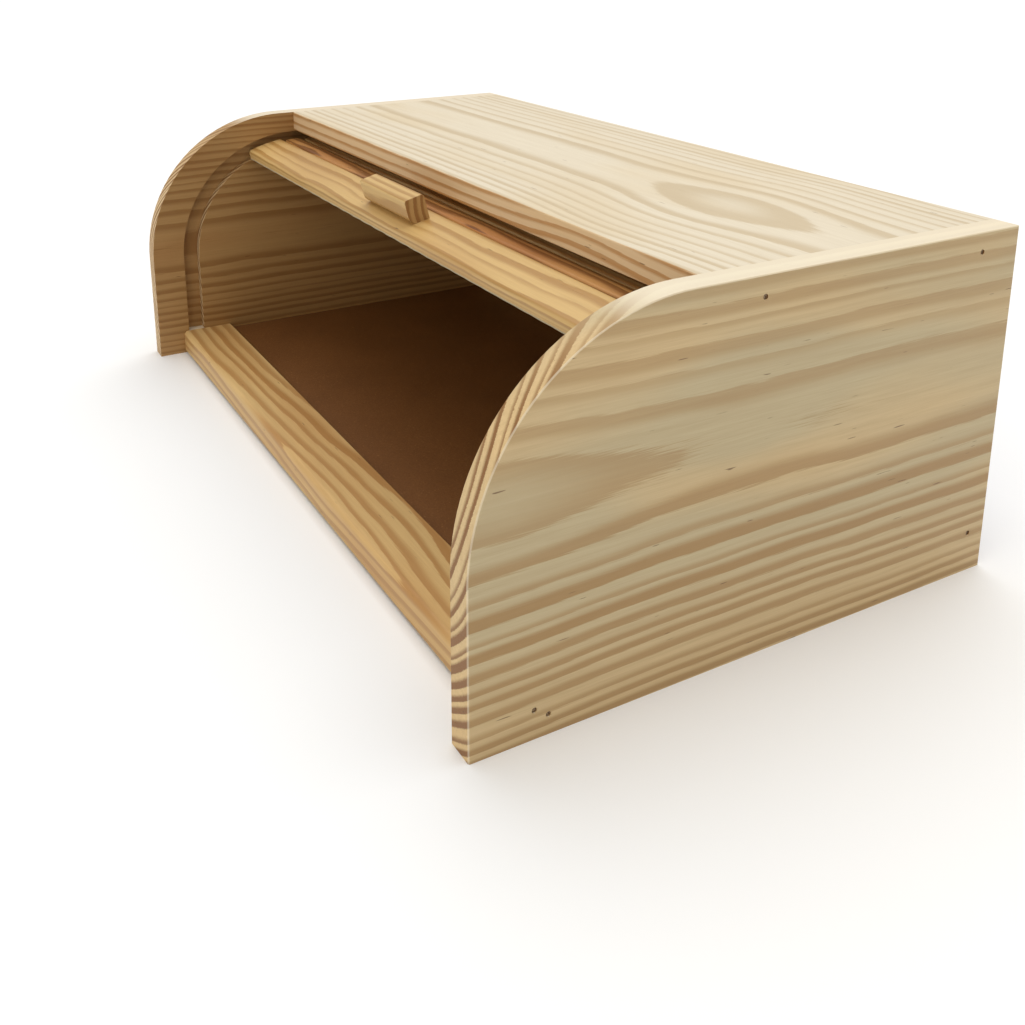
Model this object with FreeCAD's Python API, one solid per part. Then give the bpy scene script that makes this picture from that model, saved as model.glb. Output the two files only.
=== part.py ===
"""Pine bread box with a roll-top (tambour) front, modelled with the curtain rolled open.

Frame: origin at the middle of the footprint on the surface it stands on, +X along the
long side, +Y to the rear, +Z up.  All sizes are in millimetres.
"""
import FreeCAD, Part
import math
import os

# ---- overall sizes ----------------------------------------------------------------
WIDTH = 454.0               # outside of one side panel to outside of the other
DEPTH = 264.0
HEIGHT = 160.0

# ---- boards -----------------------------------------------------------------------
SIDE_T = 12.5               # side panels
TOP_T = 12.5                # top board
TOP_SETBACK = 102.25        # front edge of the top board behind the sides' front edges
CORNER_R = 92.0             # round upper front corner of the side panels
BACK_T = 4.0                # hardboard back, let into rebates in the sides
BACK_REBATE = 6.0           # how far the back reaches into each side panel
FLOOR_T = 3.2               # hardboard floor
FLOOR_Z = 9.3               # underside of the floor
HOUSING_DEPTH = 5.0         # grooves that hold the floor's edges
HOUSING_PLAY = 0.1          # how much wider a floor groove is than the floor
ARRIS = 0.8                 # rounding of sharp board edges

# ---- front and rear rails -----------------------------------------------------------
RAIL_D = 32.0
RAIL_T = 13.4
RAIL_LIFT = 2.0             # both rails clear the table by this much
RAIL_SETBACK = 16.8
RAIL_NOSING = 3.0           # rounding of the front rail's upper front edge
REAR_RAIL_T = 12.5
REAR_RAIL_H = 28.0

# ---- groove that guides the curtain ---------------------------------------------------
GROOVE_W = 10.5
GROOVE_DEPTH = 6.0
GROOVE_LIP = 20.25          # wood left between the sides' front edges and the groove
GROOVE_R = 74.75            # bend of the groove's middle line
GROOVE_DROP = 0.75          # step between the top board's underside and the groove

# ---- curtain --------------------------------------------------------------------------
LEAD_W = 25.0               # wide leading slat that carries the pull
LEAD_T = 6.0
SLAT_COUNT = 12             # narrow slats behind the leading one
SLAT_W = 12.55
SLAT_T = 5.2
SLAT_GAP = 1.2
LEAD_GAP = 2.0              # behind the leading slat
SLAT_PLAY = 0.6             # between a slat's shoulder and the side panel
SLAT_CROWN = 0.6            # how much the middle of a slat's face stands proud of its edges
LEAD_EDGE_R = 2.6
SLAT_EDGE_R = 2.0
LEAD_SAG = 2.0              # how far below the groove's middle line the slats ride
SLAT_SAG = 2.2
TAIL_GAP = 0.75             # last slat to the back panel, curtain fully open
TENON_D = 3.0               # round guide tenons on the slats' ends
TENON_L = 5.0
LEAD_TENON_AHEAD = 9.5      # the leading slat's tenons sit near its front edge
CLOTH_T = 0.6
CLOTH_INSET = 0.5           # the cloth under a slat stops this far inside its edges

# ---- pull and its screws ----------------------------------------------------------------
PULL_L = 56.0
PULL_H = 13.5
PULL_T = 11.0
PULL_CURVE_R = 5.0          # its front face curves in to the seat, to make room for a fingertip
PULL_EDGE_R = 1.4
PULL_SEAT = 0.25            # the pull's seat is planed this deep into the leading slat
SCREW_SPACING = 36.0
SCREW_D = 3.0
SCREW_L = 15.0
SCREW_HEAD_D = 5.6
SCREW_HEAD_H = 1.6

# ---- nails --------------------------------------------------------------------------------
NAIL_D = 1.6
NAIL_HEAD_D = 2.3
NAIL_HEAD_H = 0.8
NAIL_SUNK = 0.5             # heads punched below the surface
NAIL_L = 30.0
BACK_NAIL_L = 14.0
TOP_NAIL_INSET = 22.0       # from the top board's front and rear edges
TOP_NAIL_LOW = 8.5          # below the top face
RAIL_NAILS = ((10.0, 10.2), (16.0, 6.4))    # behind the rail's front, above its underside
REAR_RAIL_NAIL_Z = 19.0
BACK_NAIL_ROWS = 3
BACK_RAIL_NAILS = 4

# ---- places that follow from the sizes ------------------------------------------------------
INNER_X = WIDTH / 2 - SIDE_T
FRONT_Y = -DEPTH / 2
REAR_Y = DEPTH / 2
TOP_UNDER_Z = HEIGHT - TOP_T
TOP_FRONT_Y = FRONT_Y + TOP_SETBACK
BACK_Y = REAR_Y - BACK_T
RAIL_FRONT_Y = FRONT_Y + RAIL_SETBACK
RAIL_REAR_Y = RAIL_FRONT_Y + RAIL_D
RAIL_TOP_Z = RAIL_LIFT + RAIL_T
REAR_RAIL_Y = BACK_Y - REAR_RAIL_T
DROP_Y = FRONT_Y + GROOVE_LIP + GROOVE_W / 2            # middle line of the upright run
RUN_Z = TOP_UNDER_Z - GROOVE_DROP - GROOVE_W / 2        # middle line of the level run
BEND_Y = DROP_Y + GROOVE_R
BEND_Z = RUN_Z - GROOVE_R
CURTAIN_L = LEAD_W + LEAD_GAP + SLAT_COUNT * SLAT_W + (SLAT_COUNT - 1) * SLAT_GAP
# The open curtain stops with its tail near the back panel, or earlier if its pull would
# otherwise meet the top board.  The distance is from the start of the bend to its leading edge.
NOSE_TRAVEL = max(CURTAIN_L - (BACK_Y - TAIL_GAP - BEND_Y), LEAD_W / 2 + PULL_T)
EPS = 0.01

X_AXIS = FreeCAD.Vector(1, 0, 0)
ORIGIN = FreeCAD.Vector(0, 0, 0)


def block(x0, x1, y0, y1, z0, z1):
    """Box between two corners."""
    return Part.makeBox(x1 - x0, y1 - y0, z1 - z0, FreeCAD.Vector(x0, y0, z0))


def point(y, z, x=0.0):
    return FreeCAD.Vector(x, y, z)


def line(start, end):
    return Part.LineSegment(point(*start), point(*end)).toShape()


def arc(start, centre, end):
    """Arc of up to half a turn from start to end about centre, in a YZ plane."""
    sy, sz = start[0] - centre[0], start[1] - centre[1]
    ey, ez = end[0] - centre[0], end[1] - centre[1]
    radius = math.hypot(sy, sz)
    length = math.hypot(sy + ey, sz + ez)
    middle = (centre[0] + (sy + ey) * radius / length, centre[1] + (sz + ez) * radius / length)
    return Part.Arc(point(*start), point(*middle), point(*end)).toShape()


def bow(start, middle, end):
    """Arc through three points in a YZ plane."""
    return Part.Arc(point(*start), point(*middle), point(*end)).toShape()


def extrude(edges, x0, x1):
    """Solid from a closed outline in the YZ plane, drawn out along X."""
    solid = Part.Face(Part.Wire(edges)).extrude(FreeCAD.Vector(x1 - x0, 0, 0))
    solid.translate(FreeCAD.Vector(x0, 0, 0))
    return solid


def x_rod(x0, x1, y, z, diameter):
    return Part.makeCylinder(diameter / 2, x1 - x0, point(y, z, x0), X_AXIS)


def mirrored(shape):
    """Copy of a right-hand piece for the left-hand side."""
    return shape.mirror(ORIGIN, X_AXIS)


def round_edges(shape, radius, chosen):
    """Round the edges for which chosen(edge) is true."""
    return shape.makeFillet(radius, [edge for edge in shape.Edges if chosen(edge)])


def edge_at(edge, **limits):
    """True if the whole edge lies at the given x, y or z."""
    box = edge.BoundBox
    ends = {"x": (box.XMin, box.XMax), "y": (box.YMin, box.YMax), "z": (box.ZMin, box.ZMax)}
    return all(abs(v - limits[k]) < EPS for k in limits for v in ends[k])


# ---- nails and screws --------------------------------------------------------------------

def nail(head, direction, length):
    """Flat-headed nail whose head lies just below the surface at the point head."""
    direction = FreeCAD.Vector(*direction)
    start = head + direction * NAIL_SUNK
    cap = Part.makeCylinder(NAIL_HEAD_D / 2, NAIL_HEAD_H, start, direction)
    return cap.fuse(Part.makeCylinder(NAIL_D / 2, length, start, direction)).removeSplitter()


def nail_hole(head, direction, length):
    """The nail's own shape, with the head's hole open to the surface."""
    direction = FreeCAD.Vector(*direction)
    mouth = Part.makeCylinder(NAIL_HEAD_D / 2, NAIL_SUNK + EPS, head - direction * EPS, direction)
    return nail(head, direction, length).fuse(mouth)


def side_heads(places):
    """Nail places (y, z) on the right side panel's outer face, driven towards the middle."""
    return [(point(y, z, WIDTH / 2), (-1, 0, 0), NAIL_L) for y, z in places]


def both_sides(drives):
    """The given nails and their mirror images."""
    other = [(point(h.y, h.z, -h.x), (-d[0], d[1], d[2]), n) for h, d, n in drives]
    return drives + other


def top_nail_drives():
    z = HEIGHT - TOP_NAIL_LOW
    return both_sides(side_heads([(TOP_FRONT_Y + TOP_NAIL_INSET, z), (REAR_Y - TOP_NAIL_INSET, z)]))


def front_rail_nail_drives():
    return both_sides(side_heads([(RAIL_FRONT_Y + dy, RAIL_LIFT + dz) for dy, dz in RAIL_NAILS]))


def rear_rail_nail_drives():
    return both_sides(side_heads([(REAR_RAIL_Y + REAR_RAIL_T / 2, REAR_RAIL_NAIL_Z)]))


def back_nail_drives():
    """Nails through the back: a column into each side's rebate and a row into the rear rail."""
    column_x = INNER_X + BACK_REBATE / 2
    low = RAIL_LIFT + REAR_RAIL_H
    step = (RUN_Z - GROOVE_W - low) / BACK_NAIL_ROWS
    column = [(point(REAR_Y, low + step * (row + 0.5), column_x), (0, -1, 0), BACK_NAIL_L)
              for row in range(BACK_NAIL_ROWS)]
    pitch = 2 * INNER_X / BACK_RAIL_NAILS
    rail_z = RAIL_LIFT + REAR_RAIL_H * 0.75
    row_x = [-INNER_X + pitch * (place + 0.5) for place in range(BACK_RAIL_NAILS)]
    return both_sides(column) + [(point(REAR_Y, rail_z, x), (0, -1, 0), BACK_NAIL_L) for x in row_x]


def drilled(shape, drives):
    """Board with the holes of the nails that reach it."""
    for drive in drives:
        hole = nail_hole(*drive)
        if shape.BoundBox.intersect(hole.BoundBox):
            shape = shape.cut(hole)
    return shape


def group(drives):
    return Part.makeCompound([nail(*drive) for drive in drives])


# ---- case ----------------------------------------------------------------------------------

def side_outline():
    """Outline of a side panel: square at the rear, a quarter round at the upper front."""
    turn_y = FRONT_Y + CORNER_R
    turn_z = HEIGHT - CORNER_R
    return [
        line((REAR_Y, 0), (FRONT_Y, 0)),
        line((FRONT_Y, 0), (FRONT_Y, turn_z)),
        arc((FRONT_Y, turn_z), (turn_y, turn_z), (turn_y, HEIGHT)),
        line((turn_y, HEIGHT), (REAR_Y, HEIGHT)),
        line((REAR_Y, HEIGHT), (REAR_Y, 0)),
    ]


def groove_outline():
    """Upright run, bend and level run of the curtain groove, open into the back's rebate."""
    bend = (BEND_Y, BEND_Z)
    outer = GROOVE_R + GROOVE_W / 2
    inner = GROOVE_R - GROOVE_W / 2
    rear = BACK_Y + EPS
    return [
        line((BEND_Y - outer, RAIL_TOP_Z), (BEND_Y - outer, BEND_Z)),
        arc((BEND_Y - outer, BEND_Z), bend, (BEND_Y, BEND_Z + outer)),
        line((BEND_Y, BEND_Z + outer), (rear, BEND_Z + outer)),
        line((rear, BEND_Z + outer), (rear, BEND_Z + inner)),
        line((rear, BEND_Z + inner), (BEND_Y, BEND_Z + inner)),
        arc((BEND_Y, BEND_Z + inner), bend, (BEND_Y - inner, BEND_Z)),
        line((BEND_Y - inner, BEND_Z), (BEND_Y - inner, RAIL_TOP_Z)),
        line((BEND_Y - inner, RAIL_TOP_Z), (BEND_Y - outer, RAIL_TOP_Z)),
    ]


def floor_housing(x0, x1, y0, y1):
    """Groove that takes the floor's edge."""
    play = HOUSING_PLAY / 2
    return block(x0, x1, y0, y1, FLOOR_Z - play, FLOOR_Z + FLOOR_T + play)


def right_side_panel():
    outer_x = WIDTH / 2
    board = extrude(side_outline(), INNER_X, outer_x)
    board = round_edges(board, ARRIS, lambda e: edge_at(e, x=outer_x) and not edge_at(e, z=0))
    board = board.cut(extrude(groove_outline(), INNER_X - 1, INNER_X + GROOVE_DEPTH))
    board = board.cut(block(INNER_X - 1, INNER_X + BACK_REBATE, BACK_Y, REAR_Y + 1,
                            RAIL_LIFT, TOP_UNDER_Z))
    housing_y0 = RAIL_REAR_Y - HOUSING_DEPTH
    housing_y1 = REAR_RAIL_Y + HOUSING_DEPTH
    board = board.cut(floor_housing(INNER_X - 1, INNER_X + HOUSING_DEPTH, housing_y0, housing_y1))
    drives = (top_nail_drives() + front_rail_nail_drives() + rear_rail_nail_drives()
              + back_nail_drives())
    return drilled(board, drives)


def top_panel():
    board = block(-INNER_X, INNER_X, TOP_FRONT_Y, REAR_Y, TOP_UNDER_Z, HEIGHT)
    board = round_edges(board, ARRIS, lambda e: edge_at(e, y=TOP_FRONT_Y) and
                        (edge_at(e, z=HEIGHT) or edge_at(e, z=TOP_UNDER_Z)))
    return drilled(board, top_nail_drives())


def back_panel():
    reach = INNER_X + BACK_REBATE
    board = block(-reach, reach, BACK_Y, REAR_Y, RAIL_LIFT, TOP_UNDER_Z)
    return drilled(board, back_nail_drives())


def floor_panel():
    reach = INNER_X + HOUSING_DEPTH - HOUSING_PLAY
    y0 = RAIL_REAR_Y - HOUSING_DEPTH + HOUSING_PLAY
    y1 = REAR_RAIL_Y + HOUSING_DEPTH - HOUSING_PLAY
    return block(-reach, reach, y0, y1, FLOOR_Z, FLOOR_Z + FLOOR_T)


def front_rail():
    board = block(-INNER_X, INNER_X, RAIL_FRONT_Y, RAIL_REAR_Y, RAIL_LIFT, RAIL_TOP_Z)
    board = round_edges(board, RAIL_NOSING, lambda e: edge_at(e, y=RAIL_FRONT_Y, z=RAIL_TOP_Z))
    board = board.cut(floor_housing(-INNER_X, INNER_X, RAIL_REAR_Y - HOUSING_DEPTH, RAIL_REAR_Y + 1))
    return drilled(board, front_rail_nail_drives())


def rear_rail():
    board = block(-INNER_X, INNER_X, REAR_RAIL_Y, BACK_Y, RAIL_LIFT, RAIL_LIFT + REAR_RAIL_H)
    board = board.cut(floor_housing(-INNER_X, INNER_X, REAR_RAIL_Y - 1, REAR_RAIL_Y + HOUSING_DEPTH))
    return drilled(board, rear_rail_nail_drives() + back_nail_drives())


# ---- curtain ---------------------------------------------------------------------------------
# A slat is drawn lying flat: forward along the curtain's travel is -Y, its face is up.

def slat_section(width, thickness, edge_radius):
    """Flat underside, rounded upper edges and a slightly crowned face."""
    half = width / 2
    shoulder = thickness / 2 - SLAT_CROWN
    low = -thickness / 2
    r = edge_radius
    return [
        line((half, low), (-half, low)),
        line((-half, low), (-half, shoulder - r)),
        arc((-half, shoulder - r), (r - half, shoulder - r), (r - half, shoulder)),
        bow((r - half, shoulder), (0, thickness / 2), (half - r, shoulder)),
        arc((half - r, shoulder), (half - r, shoulder - r), (half, shoulder - r)),
        line((half, shoulder - r), (half, low)),
    ]


def flat_slat(width, thickness, edge_radius, tenon_ahead):
    """Slat with a round tenon at each end."""
    reach = INNER_X - SLAT_PLAY
    tip = INNER_X + TENON_L
    body = extrude(slat_section(width, thickness, edge_radius), -reach, reach)
    for x0, x1 in ((-tip, -reach + 1), (reach - 1, tip)):
        body = body.fuse(x_rod(x0, x1, -tenon_ahead, 0, TENON_D))
    return body.removeSplitter()


def flat_cloth(width, thickness):
    """Length of the backing cloth glued under one slat."""
    reach = INNER_X - SLAT_PLAY
    half = width / 2 - CLOTH_INSET
    return block(-reach, reach, -half, half, -thickness / 2 - CLOTH_T, -thickness / 2)


def pull_section():
    """Upright back, front face that curves in to the seat, and rounded upper edges."""
    half = PULL_T / 2
    foot = LEAD_T / 2 - PULL_SEAT
    head = foot + PULL_H
    curve = PULL_CURVE_R
    r = PULL_EDGE_R
    return [
        line((half, foot), (curve - half, foot)),
        arc((curve - half, foot), (curve - half, foot + curve), (-half, foot + curve)),
        line((-half, foot + curve), (-half, head - r)),
        arc((-half, head - r), (r - half, head - r), (r - half, head)),
        line((r - half, head), (half - r, head)),
        arc((half - r, head), (half - r, head - r), (half, head - r)),
        line((half, head - r), (half, foot)),
    ]


def flat_screws():
    """Countersunk screws through the leading slat into the middle of the pull's seat."""
    under = -LEAD_T / 2
    seat_y = PULL_CURVE_R / 2
    up = FreeCAD.Vector(0, 0, 1)
    screws = []
    for x in (-SCREW_SPACING / 2, SCREW_SPACING / 2):
        start = point(seat_y, under, x)
        head = Part.makeCone(SCREW_HEAD_D / 2, SCREW_D / 2, SCREW_HEAD_H, start, up)
        shank = Part.makeCylinder(SCREW_D / 2, SCREW_L, start, up)
        screws.append(head.fuse(shank).removeSplitter())
    return screws


def along_groove(travel, sag):
    """Place (y, z) and tilt in degrees at a distance past the start of the bend, the given
    height below the groove's middle line.  The distance is negative on the level run."""
    if travel < 0:
        return BEND_Y - travel, RUN_Z - sag, 0.0
    turn = travel / GROOVE_R
    radius = GROOVE_R - sag
    return (BEND_Y - radius * math.sin(turn), BEND_Z + radius * math.cos(turn),
            math.degrees(turn))


def placed(shape, travel, sag):
    """Move a piece drawn flat at the origin to its place in the groove."""
    y, z, tilt = along_groove(travel, sag)
    shape.rotate(ORIGIN, X_AXIS, tilt)
    shape.translate(point(y, z))
    return shape


def curtain():
    """Every piece of the curtain by name, in the open position."""
    lead_travel = NOSE_TRAVEL - LEAD_W / 2
    screws = flat_screws()
    pull = extrude(pull_section(), -PULL_L / 2, PULL_L / 2)
    slat = flat_slat(LEAD_W, LEAD_T, LEAD_EDGE_R, LEAD_TENON_AHEAD).cut(pull)
    for screw in screws:
        slat = slat.cut(screw)
        pull = pull.cut(screw)
    pieces = {
        "lead_slat": placed(slat, lead_travel, LEAD_SAG),
        "lead_slat_cloth": placed(flat_cloth(LEAD_W, LEAD_T), lead_travel, LEAD_SAG),
        "pull": placed(pull, lead_travel, LEAD_SAG),
        "pull_screws": placed(Part.makeCompound(screws), lead_travel, LEAD_SAG),
    }
    first_travel = NOSE_TRAVEL - LEAD_W - LEAD_GAP - SLAT_W / 2
    for number in range(SLAT_COUNT):
        travel = first_travel - number * (SLAT_W + SLAT_GAP)
        name = f"slat_{number + 1:02d}"
        pieces[name] = placed(flat_slat(SLAT_W, SLAT_T, SLAT_EDGE_R, 0.0), travel, SLAT_SAG)
        pieces[name + "_cloth"] = placed(flat_cloth(SLAT_W, SLAT_T), travel, SLAT_SAG)
    return pieces


def all_pieces():
    right = right_side_panel()
    pieces = {
        "right_side_panel": right,
        "left_side_panel": mirrored(right),
        "top_panel": top_panel(),
        "back_panel": back_panel(),
        "floor_panel": floor_panel(),
        "front_rail": front_rail(),
        "rear_rail": rear_rail(),
        "top_nails": group(top_nail_drives()),
        "front_rail_nails": group(front_rail_nail_drives()),
        "rear_rail_nails": group(rear_rail_nail_drives()),
        "back_nails": group(back_nail_drives()),
    }
    pieces.update(curtain())
    return pieces


os.makedirs("parts", exist_ok=True)
for name, shape in all_pieces().items():
    shape.exportStep(f"parts/{name}.step")
    print(name, len(shape.Solids), "solid(s)", round(shape.Volume), "mm3")
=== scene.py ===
"""Looks of the pine bread box with a roll top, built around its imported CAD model.

Positions are in metres, in the model's own frame.  Wood patterns are described in
millimetres, because a board's growth rings are a few millimetres apart.
"""

import math
from dataclasses import dataclass

import bmesh
import bpy
from mathutils import Euler, Matrix, Vector


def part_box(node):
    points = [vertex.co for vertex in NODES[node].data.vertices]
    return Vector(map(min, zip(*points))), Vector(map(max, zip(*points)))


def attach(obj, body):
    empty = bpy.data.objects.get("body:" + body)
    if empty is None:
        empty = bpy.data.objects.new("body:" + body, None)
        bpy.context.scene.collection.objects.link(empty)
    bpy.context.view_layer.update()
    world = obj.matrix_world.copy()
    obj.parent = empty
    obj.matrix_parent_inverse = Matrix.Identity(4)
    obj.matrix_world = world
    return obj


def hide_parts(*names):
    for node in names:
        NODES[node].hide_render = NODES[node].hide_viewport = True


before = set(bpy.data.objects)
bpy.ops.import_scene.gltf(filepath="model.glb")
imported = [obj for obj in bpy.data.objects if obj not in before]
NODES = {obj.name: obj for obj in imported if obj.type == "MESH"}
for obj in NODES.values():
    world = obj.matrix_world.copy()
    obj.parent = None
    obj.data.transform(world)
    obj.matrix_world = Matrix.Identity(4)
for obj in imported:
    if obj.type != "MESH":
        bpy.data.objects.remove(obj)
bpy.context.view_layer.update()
MM = 0.001

# ---- camera, floor and lights ---------------------------------------------------------------

CAMERA_PLACE = (0.5192, -0.2876, 0.2829)
CAMERA_TURN = (75.167, 0.362, 61.678)       # degrees
CAMERA_LENS = 39.53
CAMERA_SENSOR = 36.0
CAMERA_SHIFT = (0.0433, -0.2814)
CAMERA_NEAREST = 0.01

FLOOR_SIDE = 24.0
FLOOR_COLOUR = (0.95, 0.965, 0.985)
FLOOR_MOTTLE = 0.985                        # brightness of its darker patches

# name, where it shines from, how far its light is spread in degrees, strength, colour
LAMPS = (
    ("skylight", (-0.4, 0.45, 1.7), 75.0, 2.05, (1.0, 0.99, 0.975)),
    ("window", (0.5, -1.3, 1.35), 50.0, 0.60, (1.0, 0.90, 0.74)),
)
SKY_COLOUR = (1.0, 0.99, 0.97)
SKY_STRENGTH = 0.42


def add_object(name, data):
    """Object of that name in the scene."""
    made = bpy.data.objects.new(name, data)
    bpy.context.scene.collection.objects.link(made)
    return made


def add_camera():
    camera = add_object("camera", bpy.data.cameras.new("camera"))
    camera.location = CAMERA_PLACE
    camera.rotation_euler = Euler([math.radians(turn) for turn in CAMERA_TURN])
    camera.data.sensor_width = CAMERA_SENSOR
    camera.data.lens = CAMERA_LENS
    camera.data.shift_x, camera.data.shift_y = CAMERA_SHIFT
    camera.data.clip_start = CAMERA_NEAREST
    bpy.context.scene.camera = camera


def add_lamp(name, place, spread, strength, colour):
    """Soft light that reaches the whole floor evenly."""
    light = bpy.data.lights.new(name, "SUN")
    light.angle = math.radians(spread)
    light.energy = strength
    light.color = colour
    lamp = add_object(name, light)
    lamp.location = place
    lamp.rotation_euler = (-Vector(place)).to_track_quat("-Z", "Y").to_euler()


def add_sky():
    world = bpy.data.worlds.new("sky")
    world.use_nodes = True
    backdrop = world.node_tree.nodes["Background"]
    backdrop.inputs["Color"].default_value = (*SKY_COLOUR, 1.0)
    backdrop.inputs["Strength"].default_value = SKY_STRENGTH
    bpy.context.scene.world = world


# ---- shader maths ---------------------------------------------------------------------------

class Value:
    """A socket of a material's node tree; arithmetic on it adds Math nodes."""

    def __init__(self, tree, socket):
        self.tree = tree
        self.socket = socket

    def node(self, kind, settings=None, inputs=None, output=0):
        """Another node, its settings made first, then its sockets' values or links."""
        made = self.tree.nodes.new(kind)
        for name, setting in (settings or {}).items():
            setattr(made, name, setting)
        for key, value in (inputs or {}).items():
            if isinstance(value, Value):
                self.tree.links.new(value.socket, made.inputs[key])
            else:
                made.inputs[key].default_value = value
        return Value(self.tree, made.outputs[output])

    def math(self, operation, *others):
        """This value, and any others, put through a Math node."""
        values = dict(enumerate((self, *others)))
        return self.node("ShaderNodeMath", {"operation": operation}, values)

    def __add__(self, other):
        return self.math("ADD", other)

    def __sub__(self, other):
        return self.math("SUBTRACT", other)

    def __rsub__(self, other):
        return self.node("ShaderNodeMath", {"operation": "SUBTRACT"}, {0: other, 1: self})

    def __mul__(self, other):
        return self.math("MULTIPLY", other)

    def __truediv__(self, other):
        return self.math("DIVIDE", other)

    def between(self, low, high):
        """0 below low, 1 above high, and a smooth step in between."""
        inputs = {"Value": self, "From Min": low, "From Max": high}
        return self.node("ShaderNodeMapRange", {"interpolation_type": "SMOOTHSTEP"}, inputs)

    def mix(self, colour, other):
        """From colour where this value is 0 to other where it is 1."""
        inputs = {0: self, 6: colour, 7: other}
        return self.node("ShaderNodeMix", {"data_type": "RGBA"}, inputs, output=2)

    def noise(self, scales, detail=2.0, roughness=0.5, seed=0.0):
        """Noise in 0 to 1 at this vector, with its own frequency along each axis."""
        place = self.node("ShaderNodeMapping", None,
                          {"Vector": self, "Location": (seed, seed, seed), "Scale": scales})
        inputs = {"Vector": place, "Scale": 1.0, "Detail": detail, "Roughness": roughness}
        return place.node("ShaderNodeTexNoise", None, inputs)

    def axes(self):
        """The X, Y and Z of this vector."""
        parts = self.node("ShaderNodeSeparateXYZ", None, {0: self}).socket.node
        return [Value(self.tree, output) for output in parts.outputs]


def linear(red, green, blue):
    """Scene colour of a screen colour given in 0 to 255."""
    def channel(level):
        level = level / 255
        return level / 12.92 if level <= 0.04045 else ((level + 0.055) / 1.055) ** 2.4
    return (channel(red), channel(green), channel(blue), 1.0)


def new_material(name, **constants):
    """Material, its shader node and the object position in millimetres."""
    material = bpy.data.materials.new(name)
    material.use_nodes = True
    shader = material.node_tree.nodes["Principled BSDF"]
    for key, value in constants.items():
        shader.inputs[key.replace("_", " ")].default_value = value
    coordinates = material.node_tree.nodes.new("ShaderNodeTexCoord")
    place = Value(material.node_tree, coordinates.outputs["Object"])
    place = place.node("ShaderNodeVectorMath", {"operation": "SCALE"},
                       {"Vector": place, "Scale": 1 / MM})
    return material, shader, place


def surface_normal(value):
    """The X, Y and Z that the surface faces, each in -1 to 1."""
    return value.node("ShaderNodeNewGeometry", output=1).axes()


def connect(shader, **surface):
    """Link what changes over the surface to the shader's sockets."""
    for key, value in surface.items():
        value.tree.links.new(value.socket, shader.inputs[key.replace("_", " ")])


def bump(height, depth):
    """Surface relief of that depth in millimetres from a height in 0 to 1."""
    return height.node("ShaderNodeBump", None, {"Height": height, "Distance": depth * MM})


def assign(node, material):
    """Finish of a CAD node."""
    materials = NODES[node].data.materials
    materials.clear()
    materials.append(material)


# ---- pine: how a board is cut and coloured --------------------------------------------------

SIDE_WOOD = {"early": (202, 186, 148), "late": (168, 130, 78), "flush": (222, 192, 142),
             "edge": (242, 208, 152), "edge_late": (140, 96, 54)}
# the left panel's darker palette is painted shade for its inner face, which sits in the box's
# shade; its pale edge colour is painted light on its edges
LEFT_WOOD_PAINTED_LIGHT_AND_SHADE = {"early": (186, 146, 92), "late": (148, 104, 56), "flush": (172, 124, 72),
             "edge": (255, 232, 186)}
TOP_WOOD = {"early": (232, 221, 198), "late": (206, 185, 148), "flush": (226, 208, 174),
            "edge": (226, 180, 116), "edge_late": (190, 138, 78)}
RAIL_WOOD = {"early": (222, 188, 128), "late": (176, 124, 66), "flush": (208, 162, 100)}
GOLDEN_WOOD = {"early": (216, 182, 120), "late": (174, 130, 70), "flush": (198, 156, 96)}
RED_WOOD = {"early": (208, 154, 90), "late": (110, 62, 28), "flush": (192, 128, 72)}
RESIN_COLOUR = (96, 62, 34)
# the left panel's outer face is mixed back towards the right panel's colour, so the painted shade
# of its palette stays on the inside
UNSHADED_FACE_COLOUR = SIDE_WOOD["early"]
# pale colour painted on arrises as a highlight and on upward faces as light
PAINTED_HIGHLIGHT_COLOUR = (246, 236, 212)


@dataclass
class Board:
    """How a piece of pine was cut from the log.  Lengths are in millimetres."""
    grain: int                          # axis that the fibres follow: 0 for X, 1 for Y
    heart: tuple                        # middle of the growth rings, across the fibres
    ring: float                         # from one ring to the next
    seed: float                         # sets this board's pattern apart from the others'
    early: tuple                        # pale spring wood
    late: tuple                         # dark summer wood
    flush: tuple                        # warm patches
    edge: tuple = (170, 126, 76)        # sawn ends and edges
    edge_late: tuple = (150, 106, 60)   # summer wood there
    edge_axis: int = None               # where those face; along the fibres if not given
    shift: float = 0.0                  # draws all the rings inwards, as a share of one ring
    dip: tuple = (0.0, 100.0, 0.0)      # and inwards at one place along the fibres: at, reach, by
    drift: float = 1.5                  # how far the rings wander, to either side
    uneven: float = 0.7                 # how much the years differ: 0 gives equal rings
    band: float = 0.45                  # where in a ring its dark part starts
    faint: tuple = None                 # bands fade from this height to that, down to a share
    warm: tuple = None                  # the foot is all warm, fading from this height to that
    worn: bool = False                  # painted highlight on the arrises around the X faces, and painted light on upward faces
    outside: int = 0                    # the X face kept clear of the painted shade in the board's palette: 1, -1 or neither
    polish: float = 0.5                 # roughness


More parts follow.
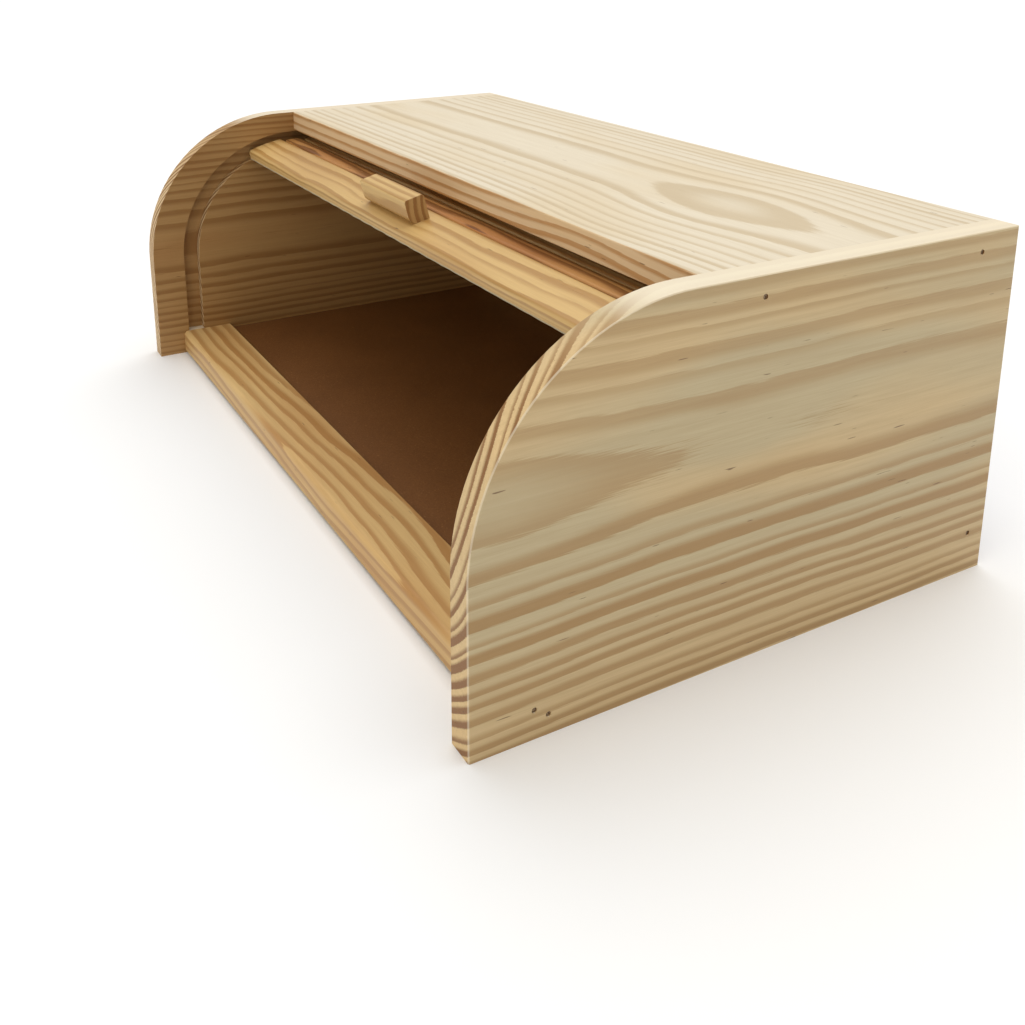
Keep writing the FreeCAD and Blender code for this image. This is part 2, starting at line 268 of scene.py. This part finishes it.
BOARDS = {
    # both side panels get a painted highlight on their arrises and painted light on their upward
    # faces
    "right_side_panel": Board(grain=1, heart=(166, 97), ring=4.5, shift=0.3, band=0.32,
                              dip=(-150, 85, -2.3), drift=1.6, faint=(104, 124, 0.6),
                              warm=(0, 60), worn=True, seed=2.0, **SIDE_WOOD),
    # its palette carries painted shade and its edges painted light; its outer face is kept clear
    # of that shade
    "left_side_panel": Board(grain=1, heart=(-172, 76), ring=3.6, shift=0.8, drift=1.4,
                             uneven=0.8, band=0.4, worn=True, outside=-1, seed=8.0,
                             **LEFT_WOOD_PAINTED_LIGHT_AND_SHADE),
    "top_panel": Board(grain=0, heart=(50, 70), ring=3.8, shift=0.1, dip=(137, 45, -2.6),
                       drift=1.0, edge_axis=1, seed=4.0, **TOP_WOOD),
    "front_rail": Board(grain=0, heart=(-66, -46), ring=3.8, dip=(60, 110, 5.0), drift=3.2,
                        uneven=1.4, seed=15.0, band=0.35, **RAIL_WOOD),
    "rear_rail": Board(grain=0, heart=(210, 20), ring=3.6, seed=21.0, **RAIL_WOOD),
    "lead_slat": Board(grain=0, heart=(-66, 40), ring=2.6, drift=3.0, seed=27.0, polish=0.42,
                       **GOLDEN_WOOD),
    "pull": Board(grain=0, heart=(-20, 152), ring=3.6, drift=1.0, seed=31.0, **GOLDEN_WOOD),
}

SLAT_WOODS = (RED_WOOD, RAIL_WOOD, GOLDEN_WOOD, RAIL_WOOD, GOLDEN_WOOD)

# the narrow slats' first value and its step from one kind of stick to the next
SLAT_HEART_ASIDE = (18, 9)
SLAT_HEART_ABOVE = (30, 12)
SLAT_RING = (2.6, 0.5)
SLAT_SEED = (40.0, 7)


def slat_board(number, node):
    """Each narrow slat is sawn from another stick, its log's heart above it to one side."""
    def stepped(values, steps):
        first, step = values
        return first + step * steps
    low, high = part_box(node)
    middle = (low[1] + high[1]) / 2 / MM
    side = 1 if number % 2 else -1
    heart = (middle + side * stepped(SLAT_HEART_ASIDE, number % 3),
             high[2] / MM + stepped(SLAT_HEART_ABOVE, number % 4))
    return Board(grain=0, heart=heart, ring=stepped(SLAT_RING, number % 3), drift=2.5, band=0.3,
                 seed=stepped(SLAT_SEED, number), polish=0.42,
                 **SLAT_WOODS[number % len(SLAT_WOODS)])


# ---- pine: its pattern ----------------------------------------------------------------------

# noise drawn out along the fibres, with its waves per millimetre across and along them
WANDER = {"across": 0.022, "along": 0.008, "detail": 2.5}
FIBRES = {"across": 2.6, "along": 0.05, "detail": 3.0, "roughness": 0.6, "seed": 3}
BUNDLES = {"across": 0.55, "along": 0.012, "detail": 2.0, "seed": 5}
PATCHES = {"across": 0.03, "along": 0.007, "detail": 1.0, "seed": 7}
RESIN = {"across": 1.1, "along": 0.08, "detail": 1.0, "seed": 11}

YEARS = 17.0                    # good years turn to bad ones over about this many millimetres
FEATHER = 0.3                   # how far fibres blur a ring's boundaries, as a share of one ring
BAND_VARIES = 0.2               # the dark part starts earlier or later by up to this share
BAND_DEEPENS = 0.4              # it takes this share of a ring to darken fully
BAND_ENDS = 0.92                # then it pales quickly to the next ring
BAND_PALEST = 0.35              # the weakest ring is less dark than the strongest by this share

# where each noise starts to show, and where it shows fully
RESIN_FROM = (0.76, 0.81)
PATCHES_FROM = (0.45, 0.75)
SHADE_FROM = (-0.25, 0.25)

# how squarely a surface has to face a way: where that starts to count, and where it fully does
SAWN_FACING = (0.15, 0.95)
OUTER_FACING = (0.5, 0.9)
UP_FACING = (0.92, 1.0)
ARRIS_FROM = (0.05, 0.25)
ARRIS_TO = (0.8, 0.98)

# how strongly each of these colours a board, as a share
FLUSH_SHARE = 0.75
EDGE_SHARE = 0.6
LATE_SHARE = 0.85
FIBRE_SHARE = 0.32
RESIN_SHARE = 0.7
# how far the outer face is brought back from the palette's painted shade
UNSHADED_FACE_SHARE = 0.6
# painted highlight on the arrises, and painted light on upward faces
ARRIS_HIGHLIGHT_SHARE = 0.4
TOP_LIGHT_SHARE = 0.75

SAWN_DARKER = 0.5               # rings show this much darker on sawn wood
FIBRE_TONE = 0.46               # tone from fine fibres
BUNDLE_TONE = 0.36              # and from bundles of them
DARKEST_FIBRE = 0.80            # its brightness against summer wood

FIBRE_ROUGHNESS = 0.25
LATE_SMOOTHNESS = 0.10
SAWN_ROUGHNESS = 0.2
FIBRE_HEIGHT = 0.45             # as shares of the relief
LATE_HEIGHT = 0.35
RESIN_HEIGHT = -0.3
PINE_RELIEF = 0.12              # millimetres


def streaks(board, place, across, along, detail, roughness=0.5, seed=0):
    """Noise in 0 to 1 that the board's fibres draw out."""
    scales = tuple(along if axis == board.grain else across for axis in range(3))
    return place.noise(scales, detail, roughness, board.seed + seed)


def rings(board, place, along, across, fibres):
    """How dark the wood is in 0 to 1 from its growth rings, feathered by its fibres."""
    at, reach, depth = board.dip
    step = (along - at) / reach
    bell = (step * step * -1.0).math("EXPONENT")
    wander = streaks(board, place, **WANDER) - 0.5
    du = across[0] - board.heart[0]
    dv = across[1] - board.heart[1]
    radius = (du * du + dv * dv).math("SQRT") + bell * depth + wander * (2 * board.drift)
    years = radius.node("ShaderNodeTexNoise", {"noise_dimensions": "1D"},
                        {"W": radius / YEARS + board.seed, "Scale": 1.0, "Detail": 1.0})
    count = radius / board.ring + years * board.uneven + board.shift + (fibres - 0.5) * FEATHER
    share = count.math("FRACT")
    each = count.node("ShaderNodeTexWhiteNoise", {"noise_dimensions": "1D"},
                      {"W": count.math("FLOOR") + board.seed})
    start = each * (2 * BAND_VARIES) + (board.band - BAND_VARIES)
    darkening = share.between(start, start + BAND_DEEPENS)
    ending = 1.0 - share.between(BAND_ENDS, 1.0)
    return darkening * ending * (each * -BAND_PALEST + 1.0)


def with_painted_light(board, colour, normal, facing):
    """The board's colour with its outer face kept clear of the palette's painted shade, a painted
    highlight on its arrises and painted light on its upward faces.
    """
    # the outer face is mixed back from the painted shade in the board's palette
    if board.outside:
        outer = (normal[0] * board.outside).between(*OUTER_FACING)
        colour = (outer * UNSHADED_FACE_SHARE).mix(colour, linear(*UNSHADED_FACE_COLOUR))
    # painted highlight on the arrises and painted light on upward faces
    if board.worn:
        arris = facing[0].between(*ARRIS_FROM) * (1.0 - facing[0].between(*ARRIS_TO))
        upward = normal[2].between(*UP_FACING)
        painted_highlight = (arris * ARRIS_HIGHLIGHT_SHARE).math("MAXIMUM", upward * TOP_LIGHT_SHARE)
        colour = painted_highlight.mix(colour, linear(*PAINTED_HIGHLIGHT_COLOUR))
    return colour


def pine(name, board):
    """Planed pine: growth rings in the solid, fibres, resin streaks and warm patches."""
    material, shader, place = new_material(name, Specular_IOR_Level=0.4)
    position = place.axes()
    along = position[board.grain]
    across = [position[axis] for axis in range(3) if axis != board.grain]
    height = across[1]
    normal = surface_normal(place)
    facing = [part.math("ABSOLUTE") for part in normal]
    edge_axis = board.grain if board.edge_axis is None else board.edge_axis
    sawn = facing[edge_axis].between(*SAWN_FACING)

    fibres = streaks(board, place, **FIBRES)
    bundles = streaks(board, place, **BUNDLES)
    resin = streaks(board, place, **RESIN).between(*RESIN_FROM)
    patches = streaks(board, place, **PATCHES).between(*PATCHES_FROM)
    if board.warm:
        patches = patches.math("MAXIMUM", 1.0 - height.between(*board.warm))

    dark = rings(board, place, along, across, fibres)
    if board.faint:
        low, high, least = board.faint
        dark = dark * (1.0 - height.between(low, high) * (1.0 - sawn) * (1.0 - least))
    dark = dark * (sawn * SAWN_DARKER + 1.0)

    colour = (patches * FLUSH_SHARE).mix(linear(*board.early), linear(*board.flush))
    colour = (sawn * EDGE_SHARE).mix(colour, linear(*board.edge))
    late = sawn.mix(linear(*board.late), linear(*board.edge_late))
    colour = (dark * LATE_SHARE).mix(colour, late)
    tone = (fibres - 0.5) * FIBRE_TONE + (bundles - 0.5) * BUNDLE_TONE
    shade = (tone * -1.0).between(*SHADE_FROM)
    darkest = [level * DARKEST_FIBRE for level in linear(*board.late)[:3]]
    colour = (shade * FIBRE_SHARE).mix(colour, (*darkest, 1.0))
    colour = (resin * RESIN_SHARE).mix(colour, linear(*RESIN_COLOUR))
    colour = with_painted_light(board, colour, normal, facing)

    rough = (fibres - 0.5) * FIBRE_ROUGHNESS - dark * LATE_SMOOTHNESS + sawn * SAWN_ROUGHNESS
    rough = rough + board.polish
    relief = fibres * FIBRE_HEIGHT + dark * LATE_HEIGHT + resin * RESIN_HEIGHT
    connect(shader, Base_Color=colour, Roughness=rough, Normal=bump(relief, PINE_RELIEF))
    return material


def finish_pine():
    boards = dict(BOARDS)
    slats = [node for node in sorted(NODES) if node.startswith("slat_") and node[5:].isdigit()]
    for number, node in enumerate(slats):
        boards[node] = slat_board(number, node)
    for node, board in boards.items():
        assign(node, pine(node, board))


# ---- hardboard and steel --------------------------------------------------------------------

HARDBOARD_NODES = ("floor_panel", "back_panel")
HARDBOARD_COLOURS = ((116, 74, 36), (124, 80, 40))
SPECKLE_COLOUR = (84, 50, 25)
SPECKLE_SHARE = 0.4
FLECK_COLOUR = (160, 116, 70)
FLECK_SHARE = 0.45
ROUGH_SIDE_COLOUR = (78, 48, 26)
ROUGH_SIDE_SHARE = 0.35
ROUGH_SIDE_FACING = (0.4, 0.6)
SCREEN_WIRE = 1.9               # millimetres from one wire of the print to the next
SCREEN_HEIGHT = 0.5             # as shares of the relief
SPECKLE_HEIGHT = 0.3
HARDBOARD_RELIEF = 0.25         # millimetres

NAIL_NODES = ("top_nails", "front_rail_nails", "rear_rail_nails", "back_nails")
# name, clean and tarnished colour, roughness
NAIL_STEEL = ("nail_steel", (158, 136, 110), (86, 66, 50), 0.45)
SCREW_STEEL = ("screw_steel", (190, 176, 140), (138, 118, 80), 0.3)
TARNISH_ROUGHNESS = 0.25
STEEL_RELIEF = 0.03             # millimetres


def hardboard():
    """Pressed wood fibre: smooth and brown, with the print of a wire screen on its rough side."""
    material, shader, place = new_material("hardboard", Specular_IOR_Level=0.35)
    speckle = place.noise((1.4, 1.4, 1.4), detail=4.0, roughness=0.65)
    cloud = place.noise((0.02, 0.02, 0.02), detail=3.0, seed=5.0).between(0.3, 0.7)
    flecks = place.noise((0.9, 0.9, 0.9), detail=1.0, seed=9.0).between(0.66, 0.74)
    normal = surface_normal(place)
    backward = normal[1].between(*ROUGH_SIDE_FACING)
    downward = (normal[2] * -1.0).between(*ROUGH_SIDE_FACING)
    rough_side = backward.math("MAXIMUM", downward)
    x, y, z = place.axes()
    wire = 2 * math.pi / SCREEN_WIRE
    screen = (x * wire).math("SINE") * ((y + z) * wire).math("SINE")

    colour = cloud.mix(*(linear(*shade) for shade in HARDBOARD_COLOURS))
    dots = speckle.between(0.35, 0.7)
    colour = (dots * SPECKLE_SHARE).mix(colour, linear(*SPECKLE_COLOUR))
    colour = (flecks * FLECK_SHARE).mix(colour, linear(*FLECK_COLOUR))
    colour = (rough_side * ROUGH_SIDE_SHARE).mix(colour, linear(*ROUGH_SIDE_COLOUR))
    rough = rough_side * 0.4 + speckle * 0.15 + 0.42
    relief = speckle * SPECKLE_HEIGHT + screen * rough_side * SCREEN_HEIGHT
    connect(shader, Base_Color=colour, Roughness=rough, Normal=bump(relief, HARDBOARD_RELIEF))
    return material


def steel(name, clean, tarnish, roughness):
    """Bare steel with a little tarnish."""
    material, shader, place = new_material(name, Metallic=0.85)
    spots = place.noise((1.8, 1.8, 1.8), detail=4.0, roughness=0.6).between(0.35, 0.7)
    connect(shader, Base_Color=spots.mix(linear(*clean), linear(*tarnish)),
            Roughness=spots * TARNISH_ROUGHNESS + roughness, Normal=bump(spots, STEEL_RELIEF))
    return material


def finish_hardboard_and_steel():
    panel = hardboard()
    for node in HARDBOARD_NODES:
        assign(node, panel)
    nail_steel = steel(*NAIL_STEEL)
    for node in NAIL_NODES:
        assign(node, nail_steel)
    assign("pull_screws", steel(*SCREW_STEEL))


# ---- backing cloth --------------------------------------------------------------------------

CANVAS_THREAD = 0.55 * MM       # from one thread to the next
CANVAS_COLOURS = ((166, 150, 118), (222, 212, 186))     # between the threads, and on them
CROSSING = (-0.3, 0.3)          # how gradually one thread gives way to the other
SLUB = (900.0, 120.0, 1.0)      # uneven yarn, in waves per metre along and across
SLUB_SHARE = 0.3
SLUB_HEIGHT = 0.2               # as a share of the relief
GLUE = (25.0, 40.0, 1.0)        # stains, in waves per metre
GLUE_COLOUR = (190, 160, 104)
GLUE_SHARE = 0.3
CANVAS_RELIEF = 0.15            # millimetres
CANVAS_T = 0.5 * MM
CANVAS_REACH = 0.7 * MM         # the strips reach this far past the CAD cloth towards each other
CANVAS_STEPS = (90, 4)          # faces along a strip and across it
CUT_EDGE = 0.45                 # cloth beyond this share of the width is at a cut edge
CUT_WAVE = 0.00012              # how far the cut edges wave
CUT_WAVE_TURN = 900             # radians of that wave per metre
PUCKER = 0.00006                # how far the cloth rises and falls
PUCKER_TURN = (400, 700)        # radians of that per metre, along and across


def canvas():
    """Plain-woven cotton canvas with a trace of glue, on the strip's own UV map."""
    material, shader, place = new_material("canvas", Roughness=0.9, Specular_IOR_Level=0.2)
    weave = place.node("ShaderNodeUVMap", {"uv_map": "UVMap"})
    turn = math.pi / CANVAS_THREAD
    warp, weft = [(axis * turn).math("SINE") for axis in weave.axes()[:2]]
    over = (warp * weft).between(*CROSSING)
    thread = over * warp.math("ABSOLUTE") + (1.0 - over) * weft.math("ABSOLUTE")
    slub = weave.noise(SLUB, detail=2.0)
    glue = weave.noise(GLUE, detail=2.0, seed=3.0).between(0.5, 0.75)
    yarn = thread * (1 - SLUB_SHARE) + slub * SLUB_SHARE
    colour = yarn.mix(*(linear(*shade) for shade in CANVAS_COLOURS))
    colour = (glue * GLUE_SHARE).mix(colour, linear(*GLUE_COLOUR))
    relief = thread * (1 - SLUB_HEIGHT) + slub * SLUB_HEIGHT
    connect(shader, Base_Color=colour, Normal=bump(relief, CANVAS_RELIEF))
    return material


def cloth_plane(node):
    """Middle, across direction and downward normal of a flat CAD cloth."""
    mesh = NODES[node].data
    face = max(mesh.polygons, key=lambda polygon: polygon.area)
    down = face.normal.copy()
    if down.z > 0:
        down.negate()
    low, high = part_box(node)
    return (Vector(low) + Vector(high)) / 2, down.cross(Vector((1, 0, 0))).normalized(), down


def cloth_size(node):
    """Length and width of a flat CAD cloth."""
    middle, across, _ = cloth_plane(node)
    spread = [(vertex.co - middle).dot(across) for vertex in NODES[node].data.vertices]
    low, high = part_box(node)
    return high[0] - low[0], max(spread) - min(spread)


def mesh_of(name, shape, material):
    """Mesh of a bmesh, which is freed."""
    mesh = bpy.data.meshes.new(name)
    shape.to_mesh(mesh)
    shape.free()
    mesh.materials.append(material)
    return mesh


def canvas_strip(node, cloth):
    """Length of canvas glued under one slat, with a slightly uneven cut edge."""
    middle, across, down = cloth_plane(node)
    length, cad_width = cloth_size(node)
    width = cad_width + 2 * CANVAS_REACH
    shape = bmesh.new()
    bmesh.ops.create_grid(shape, x_segments=CANVAS_STEPS[0], y_segments=CANVAS_STEPS[1], size=0.5)
    bmesh.ops.transform(shape, matrix=Matrix.Diagonal((length, width, 1, 1)), verts=shape.verts)
    uv = shape.loops.layers.uv.new("UVMap")
    for face in shape.faces:
        for loop in face.loops:
            loop[uv].uv = loop.vert.co.xy
    for vert in shape.verts:
        on_cut_edge = abs(vert.co.y) > width * CUT_EDGE
        vert.co.y += CUT_WAVE * math.sin(vert.co.x * CUT_WAVE_TURN) * on_cut_edge
        phase = vert.co.x * PUCKER_TURN[0] + vert.co.y * PUCKER_TURN[1]
        vert.co.z = PUCKER * math.sin(phase)
    turn = Matrix((Vector((1, 0, 0)), across, down)).transposed().to_4x4()
    bmesh.ops.transform(shape, matrix=Matrix.Translation(middle) @ turn, verts=shape.verts)
    strip = add_object(node.replace("_cloth", "_canvas"), mesh_of(node, shape, cloth))
    thickness = strip.modifiers.new("thickness", "SOLIDIFY")
    thickness.thickness = CANVAS_T
    thickness.offset = 0.0
    slat = node.replace("_cloth", "")
    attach(strip, slat)
    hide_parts(node)


def add_canvas():
    cloth = canvas()
    for node in sorted(name for name in NODES if name.endswith("_cloth")):
        canvas_strip(node, cloth)


# ---- floor ----------------------------------------------------------------------------------

def add_floor():
    material, shader, place = new_material("floor", Specular_IOR_Level=0.1)
    mottle = place.noise((0.004, 0.004, 0.004), detail=2.0)
    shade = [level * FLOOR_MOTTLE for level in FLOOR_COLOUR]
    connect(shader, Base_Color=mottle.mix((*FLOOR_COLOUR, 1.0), (*shade, 1.0)),
            Roughness=mottle * 0.1 + 0.8)
    shape = bmesh.new()
    bmesh.ops.create_grid(shape, x_segments=1, y_segments=1, size=FLOOR_SIDE / 2)
    floor = add_object("floor", mesh_of("floor", shape, material))


# ---- the whole box --------------------------------------------------------------------------

add_camera()
for lamp in LAMPS:
    add_lamp(*lamp)
add_sky()
add_floor()
bpy.context.scene.view_settings.view_transform = "Standard"

finish_pine()
finish_hardboard_and_steel()
add_canvas()
